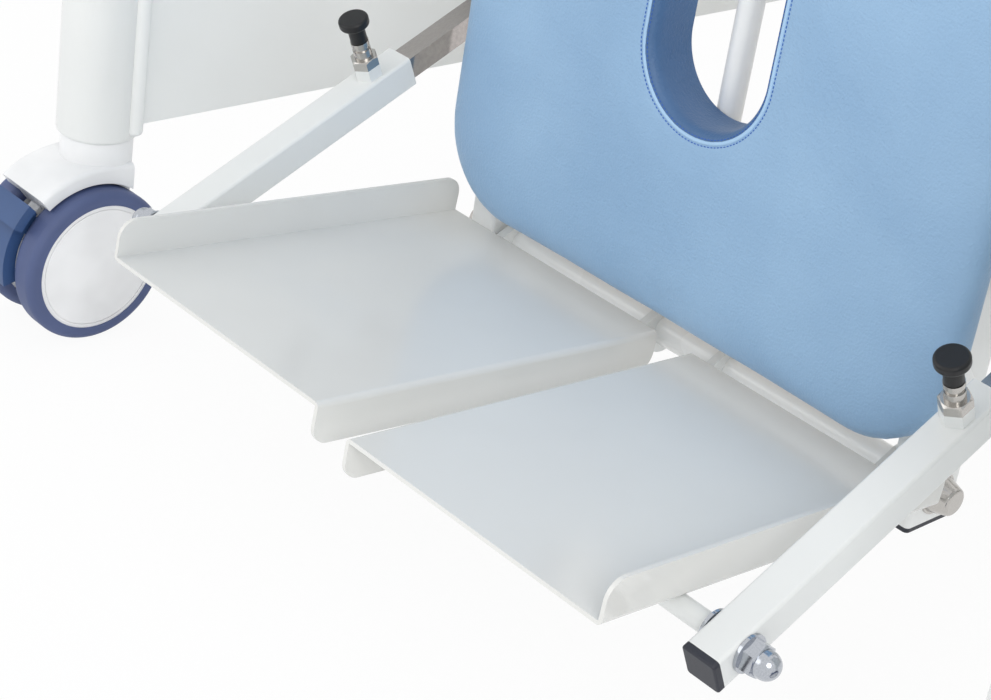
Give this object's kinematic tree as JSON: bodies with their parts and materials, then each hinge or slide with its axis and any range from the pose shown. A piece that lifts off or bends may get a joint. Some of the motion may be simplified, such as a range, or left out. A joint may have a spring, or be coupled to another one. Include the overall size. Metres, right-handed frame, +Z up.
{
  "type": "physiotherapy tilt table",
  "caption": "Tilt table standing upright: slotted vinyl pad on a tube frame, individually adjustable footplates on telescopic arms, wheeled base.",
  "frame": {"origin": "middle of the outer box, on the floor", "axes": "+Z up, +X across the table, -Y the side that the patient faces when the top is upright"},
  "size_m": [1.164, 1.3598, 2.005],
  "materials": {
    "black_plastic": "moulded black plastic",
    "board": "plywood",
    "cast": "cast aluminium",
    "chrome": "polished chrome",
    "dark_cap": "moulded dark grey-blue plastic",
    "navy_plastic": "navy plastic",
    "navy_rubber": "navy rubber",
    "pad_blue": "soft vinyl upholstery with a fine grain",
    "stainless": "brushed stainless steel",
    "steel": "turned steel",
    "white_board": "smooth white laminate",
    "white_coat": "glossy white powder coat",
    "white_plastic": "glossy white plastic",
    "zinc": "bright zinc plating"
  },
  "bodies": {
    "base": {"posts_front": "white_coat", "posts_rear": "white_coat", "post_caps": "white_plastic", "side_panel_left": "white_board", "side_panel_right": "white_board", "top_rails": "white_coat", "cross_beams": "white_coat", "bearing_blocks": "cast", "drive_gearbox": "cast", "drive_motor": "cast", "control_box": "white_plastic", "power_inlet": "black_plastic"},
    "tilting_top": {"stringer_left": "white_coat", "stringer_right": "white_coat", "stringer_caps": "dark_cap", "frame_cross_members": "white_coat", "centre_tube": "white_coat", "pivot_tube": "white_coat", "pivot_cap_nuts": "stainless", "trunnion_shafts": "steel", "bar_anchor_brackets": "white_coat", "pad_boards": "board", "leg_pad": "pad_blue", "back_pad": "pad_blue"},
    "footplate_left": {"footplate_left": "white_coat", "hinge_lugs_left": "white_coat", "front_bar_left": "white_coat", "arm_bolt_left": "zinc"},
    "arm_left": {"arm_tube_left": "white_coat", "arm_end_cap_left": "dark_cap", "plunger_boss_left": "white_coat", "plunger_sleeve_left": "stainless"},
    "bar_left": {"support_bar_left": "chrome"},
    "plunger_left": {"plunger_knob_left": "black_plastic"},
    "footplate_right": {"footplate_right": "white_coat", "hinge_lugs_right": "white_coat", "front_bar_right": "white_coat", "arm_bolt_right": "zinc"},
    "arm_right": {"arm_tube_right": "white_coat", "arm_end_cap_right": "dark_cap", "plunger_boss_right": "white_coat", "plunger_sleeve_right": "stainless"},
    "bar_right": {"support_bar_right": "chrome"},
    "plunger_right": {"plunger_knob_right": "black_plastic"},
    "castor_front_left": {"castor_hood_front_left": "white_plastic"},
    "wheels_front_left": {"castor_rims_front_left": "white_plastic", "castor_tyres_front_left": "navy_rubber"},
    "pedal_front_left": {"castor_pedal_front_left": "navy_plastic"},
    "castor_front_right": {"castor_hood_front_right": "white_plastic"},
    "wheels_front_right": {"castor_rims_front_right": "white_plastic", "castor_tyres_front_right": "navy_rubber"},
    "pedal_front_right": {"castor_pedal_front_right": "navy_plastic"},
    "castor_rear_left": {"castor_hood_rear_left": "white_plastic"},
    "wheels_rear_left": {"castor_rims_rear_left": "white_plastic", "castor_tyres_rear_left": "navy_rubber"},
    "pedal_rear_left": {"castor_pedal_rear_left": "navy_plastic"},
    "castor_rear_right": {"castor_hood_rear_right": "white_plastic"},
    "wheels_rear_right": {"castor_rims_rear_right": "white_plastic", "castor_tyres_rear_right": "navy_rubber"},
    "pedal_rear_right": {"castor_pedal_rear_right": "navy_plastic"}
  },
  "joints": [
    {"name": "table_tilt", "type": "hinge", "parent": "base", "child": "tilting_top", "pos_m": [0, -0.17408, 0.737], "axis": [-1, 0, 0], "range_deg": [0, 90]},
    {"name": "footplate_tilt_left", "type": "hinge", "parent": "tilting_top", "child": "footplate_left", "pos_m": [0, -0.27378, 0.158], "axis": [-1, 0, 0], "range_deg": [-8, 8]},
    {"name": "arm_swing_left", "type": "hinge", "parent": "footplate_left", "child": "arm_left", "pos_m": [-0.331, -0.59399, 0.18563], "axis": [-1, 0, 0], "range_deg": [-3, 3]},
    {"name": "bar_swing_left", "type": "hinge", "parent": "tilting_top", "child": "bar_left", "pos_m": [-0.331, -0.19408, 0.374], "axis": [-1, 0, 0], "range_deg": [-6.5, 6.5]},
    {"name": "plunger_pull_left", "type": "slide", "parent": "arm_left", "child": "plunger_left", "axis": [0, -0.4261, 0.9047], "range_m": [0, 0.008], "stiffness_N_per_m": 900, "springref_m": -0.003},
    {"name": "footplate_tilt_right", "type": "hinge", "parent": "tilting_top", "child": "footplate_right", "pos_m": [0, -0.27378, 0.158], "axis": [-1, 0, 0], "range_deg": [-8, 8]},
    {"name": "arm_swing_right", "type": "hinge", "parent": "footplate_right", "child": "arm_right", "pos_m": [0.331, -0.59454, 0.17836], "axis": [-1, 0, 0], "range_deg": [-3, 3]},
    {"name": "bar_swing_right", "type": "hinge", "parent": "tilting_top", "child": "bar_right", "pos_m": [0.331, -0.19408, 0.374], "axis": [-1, 0, 0], "range_deg": [-6.5, 6.5]},
    {"name": "plunger_pull_right", "type": "slide", "parent": "arm_right", "child": "plunger_right", "axis": [0, -0.439, 0.8985], "range_m": [0, 0.008], "stiffness_N_per_m": 900, "springref_m": -0.003},
    {"name": "castor_swivel_front_left", "type": "hinge", "parent": "base", "child": "castor_front_left", "pos_m": [-0.532, -0.53108, 0.19], "axis": [0, 0, 1], "continuous": true},
    {"name": "wheel_spin_front_left", "type": "hinge", "parent": "castor_front_left", "child": "wheels_front_left", "pos_m": [-0.532, -0.55308, 0.075], "axis": [1, 0, 0], "continuous": true},
    {"name": "brake_pedal_front_left", "type": "hinge", "parent": "castor_front_left", "child": "pedal_front_left", "pos_m": [-0.532, -0.59838, 0.10792], "axis": [-1, 0, 0], "range_deg": [-10, 14]},
    {"name": "castor_swivel_front_right", "type": "hinge", "parent": "base", "child": "castor_front_right", "pos_m": [0.532, -0.53108, 0.19], "axis": [0, 0, 1], "continuous": true},
    {"name": "wheel_spin_front_right", "type": "hinge", "parent": "castor_front_right", "child": "wheels_front_right", "pos_m": [0.532, -0.55308, 0.075], "axis": [1, 0, 0], "continuous": true},
    {"name": "brake_pedal_front_right", "type": "hinge", "parent": "castor_front_right", "child": "pedal_front_right", "pos_m": [0.532, -0.59838, 0.10792], "axis": [-1, 0, 0], "range_deg": [-10, 14]},
    {"name": "castor_swivel_rear_left", "type": "hinge", "parent": "base", "child": "castor_rear_left", "pos_m": [-0.532, 0.57592, 0.19], "axis": [0, 0, 1], "continuous": true},
    {"name": "wheel_spin_rear_left", "type": "hinge", "parent": "castor_rear_left", "child": "wheels_rear_left", "pos_m": [-0.532, 0.59792, 0.075], "axis": [1, 0, 0], "continuous": true},
    {"name": "brake_pedal_rear_left", "type": "hinge", "parent": "castor_rear_left", "child": "pedal_rear_left", "pos_m": [-0.532, 0.64323, 0.10792], "axis": [1, 0, 0], "range_deg": [-10, 14]},
    {"name": "castor_swivel_rear_right", "type": "hinge", "parent": "base", "child": "castor_rear_right", "pos_m": [0.532, 0.57592, 0.19], "axis": [0, 0, 1], "continuous": true},
    {"name": "wheel_spin_rear_right", "type": "hinge", "parent": "castor_rear_right", "child": "wheels_rear_right", "pos_m": [0.532, 0.59792, 0.075], "axis": [1, 0, 0], "continuous": true},
    {"name": "brake_pedal_rear_right", "type": "hinge", "parent": "castor_rear_right", "child": "pedal_rear_right", "pos_m": [0.532, 0.64323, 0.10792], "axis": [1, 0, 0], "range_deg": [-10, 14]}
  ],
  "couplings": [
    {"joint": "arm_swing_left", "follows": "footplate_tilt_left", "ratio": -0.371},
    {"joint": "bar_swing_left", "follows": "footplate_tilt_left", "ratio": 0.629},
    {"joint": "arm_swing_right", "follows": "footplate_tilt_right", "ratio": -0.373},
    {"joint": "bar_swing_right", "follows": "footplate_tilt_right", "ratio": 0.627}
  ]
}
